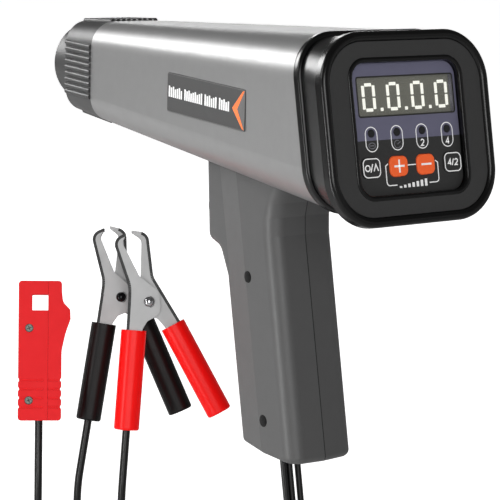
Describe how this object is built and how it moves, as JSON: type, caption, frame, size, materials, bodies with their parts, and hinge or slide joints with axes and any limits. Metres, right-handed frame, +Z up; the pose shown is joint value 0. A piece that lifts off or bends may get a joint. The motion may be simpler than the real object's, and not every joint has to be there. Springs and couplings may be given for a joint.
{
  "type": "timing light",
  "caption": "Pistol-grip strobe timing light with a tilted digital display and keys, a ribbed lamp nose, sprung battery clips and a sliding inductive pickup clamp.",
  "frame": {"origin": "centre of the display rim's front plane, on the barrel's axis", "axes": "+Y along the barrel towards the lamp, +Z up, +X to the right of a person reading the display"},
  "size_m": [0.0984, 0.2927, 0.3322],
  "materials": {
    "rim_black": "gloss",
    "neck_black": "gloss",
    "bezel_grey": "matt",
    "panel_print": "matt",
    "display_glass": "gloss",
    "display_black": "matt",
    "digit_white": "lit",
    "board_green": "satin",
    "lamp_dark": "gloss",
    "key_dark": "matt",
    "key_orange": "matt",
    "switch_black": "matt",
    "screw_steel": "zinc plated",
    "barrel_silver": "satin silver",
    "label_dark": "printed",
    "collar_grey": "satin",
    "lens_clear": "clear",
    "reflector_chrome": "mirror",
    "tube_glass": "clear",
    "base_white": "ceramic",
    "core_iron": "ferrite",
    "can_blue": "sleeved",
    "coil_yellow": "taped",
    "grip_grey": "fine grain",
    "trigger_dark": "satin",
    "spring_steel": "bright",
    "lead_black": "gloss",
    "clip_steel": "plated",
    "rivet_chrome": "polished",
    "rivet_dark": "blackened",
    "sleeve_red": "gloss",
    "sleeve_black": "gloss",
    "clamp_red": "satin"
  },
  "bodies": {
    "gun": {"display_rim": "rim_black", "display_housing": "neck_black", "seal_ring": "rim_black", "bezel": "bezel_grey", "keypad_panel": "panel_print", "digit_window": "display_glass", "digit_module": "display_black", "digit_segments": "digit_white", "display_board": "board_green", "indicator_lamps": "lamp_dark", "key_switches": "switch_black", "housing_screws": "screw_steel", "barrel_housing": "barrel_silver", "label_plate": "label_dark", "front_collar": "collar_grey", "nose_tube": "collar_grey", "front_lens": "lens_clear", "reflector": "reflector_chrome", "flash_tube": "tube_glass", "tube_base": "base_white", "main_board": "board_green", "board_screws": "screw_steel", "transformer": "coil_yellow", "flash_capacitor": "can_blue", "trigger_coil": "coil_yellow", "board_parts": "switch_black", "left_grip": "grip_grey", "right_grip": "grip_grey", "trigger_spring": "spring_steel", "trigger_switch": "switch_black", "handle_screws": "rivet_dark", "lead_grommet": "lead_black", "black_lead": "lead_black", "red_lead": "lead_black", "pickup_lead": "lead_black", "red_fixed_jaw": "clip_steel", "red_rivet": "rivet_chrome", "red_clip_spring": "spring_steel", "red_fixed_sleeve": "sleeve_red", "black_fixed_jaw": "clip_steel", "black_rivet": "rivet_dark", "black_clip_spring": "spring_steel", "black_fixed_sleeve": "sleeve_black", "pickup_front": "clamp_red", "pickup_back": "clamp_red", "pickup_core": "core_iron", "pickup_coil": "coil_yellow", "pickup_spring": "spring_steel", "pickup_screws": "screw_steel"},
    "mode_key": {"mode_key": "key_dark"},
    "plus_key": {"plus_key": "key_orange"},
    "minus_key": {"minus_key": "key_orange"},
    "stroke_key": {"stroke_key": "key_dark"},
    "trigger": {"trigger": "trigger_dark"},
    "red_jaw": {"red_moving_jaw": "clip_steel", "red_moving_sleeve": "sleeve_red"},
    "black_jaw": {"black_moving_jaw": "clip_steel", "black_moving_sleeve": "sleeve_black"},
    "pickup_slide": {"pickup_slide": "clamp_red", "pickup_keeper": "core_iron"}
  },
  "joints": [
    {"name": "mode_key_press", "type": "slide", "parent": "gun", "child": "mode_key", "axis": [0, 0.9763, -0.2164], "range_m": [0, 0.0006], "stiffness_N_per_m": 400, "springref_m": -0.002},
    {"name": "plus_key_press", "type": "slide", "parent": "gun", "child": "plus_key", "axis": [0, 0.9763, -0.2164], "range_m": [0, 0.0006], "stiffness_N_per_m": 400, "springref_m": -0.002},
    {"name": "minus_key_press", "type": "slide", "parent": "gun", "child": "minus_key", "axis": [0, 0.9763, -0.2164], "range_m": [0, 0.0006], "stiffness_N_per_m": 400, "springref_m": -0.002},
    {"name": "stroke_key_press", "type": "slide", "parent": "gun", "child": "stroke_key", "axis": [0, 0.9763, -0.2164], "range_m": [0, 0.0006], "stiffness_N_per_m": 400, "springref_m": -0.002},
    {"name": "trigger_pull", "type": "slide", "parent": "gun", "child": "trigger", "axis": [0, -1, 0], "range_m": [0, 0.005], "stiffness_N_per_m": 600, "springref_m": -0.005, "deforming": ["trigger_spring"]},
    {"name": "red_clip_open", "type": "hinge", "parent": "gun", "child": "red_jaw", "pos_m": [0.02662, 0.23336, -0.1201], "axis": [0.5062, 0.8326, -0.225], "range_deg": [0, 28], "stiffness_Nm_per_rad": 0.4, "springref_deg": -28.65, "deforming": ["red_clip_spring"]},
    {"name": "black_clip_open", "type": "hinge", "parent": "gun", "child": "black_jaw", "pos_m": [0.02646, 0.26033, -0.1232], "axis": [0.5062, 0.8326, -0.225], "range_deg": [0, 28], "stiffness_Nm_per_rad": 0.4, "springref_deg": -28.65, "deforming": ["black_clip_spring"]},
    {"name": "pickup_slide_open", "type": "slide", "parent": "gun", "child": "pickup_slide", "axis": [-0.1191, -0.2202, -0.9681], "range_m": [0, 0.014], "stiffness_N_per_m": 200, "springref_m": -0.005, "deforming": ["pickup_spring"]}
  ]
}
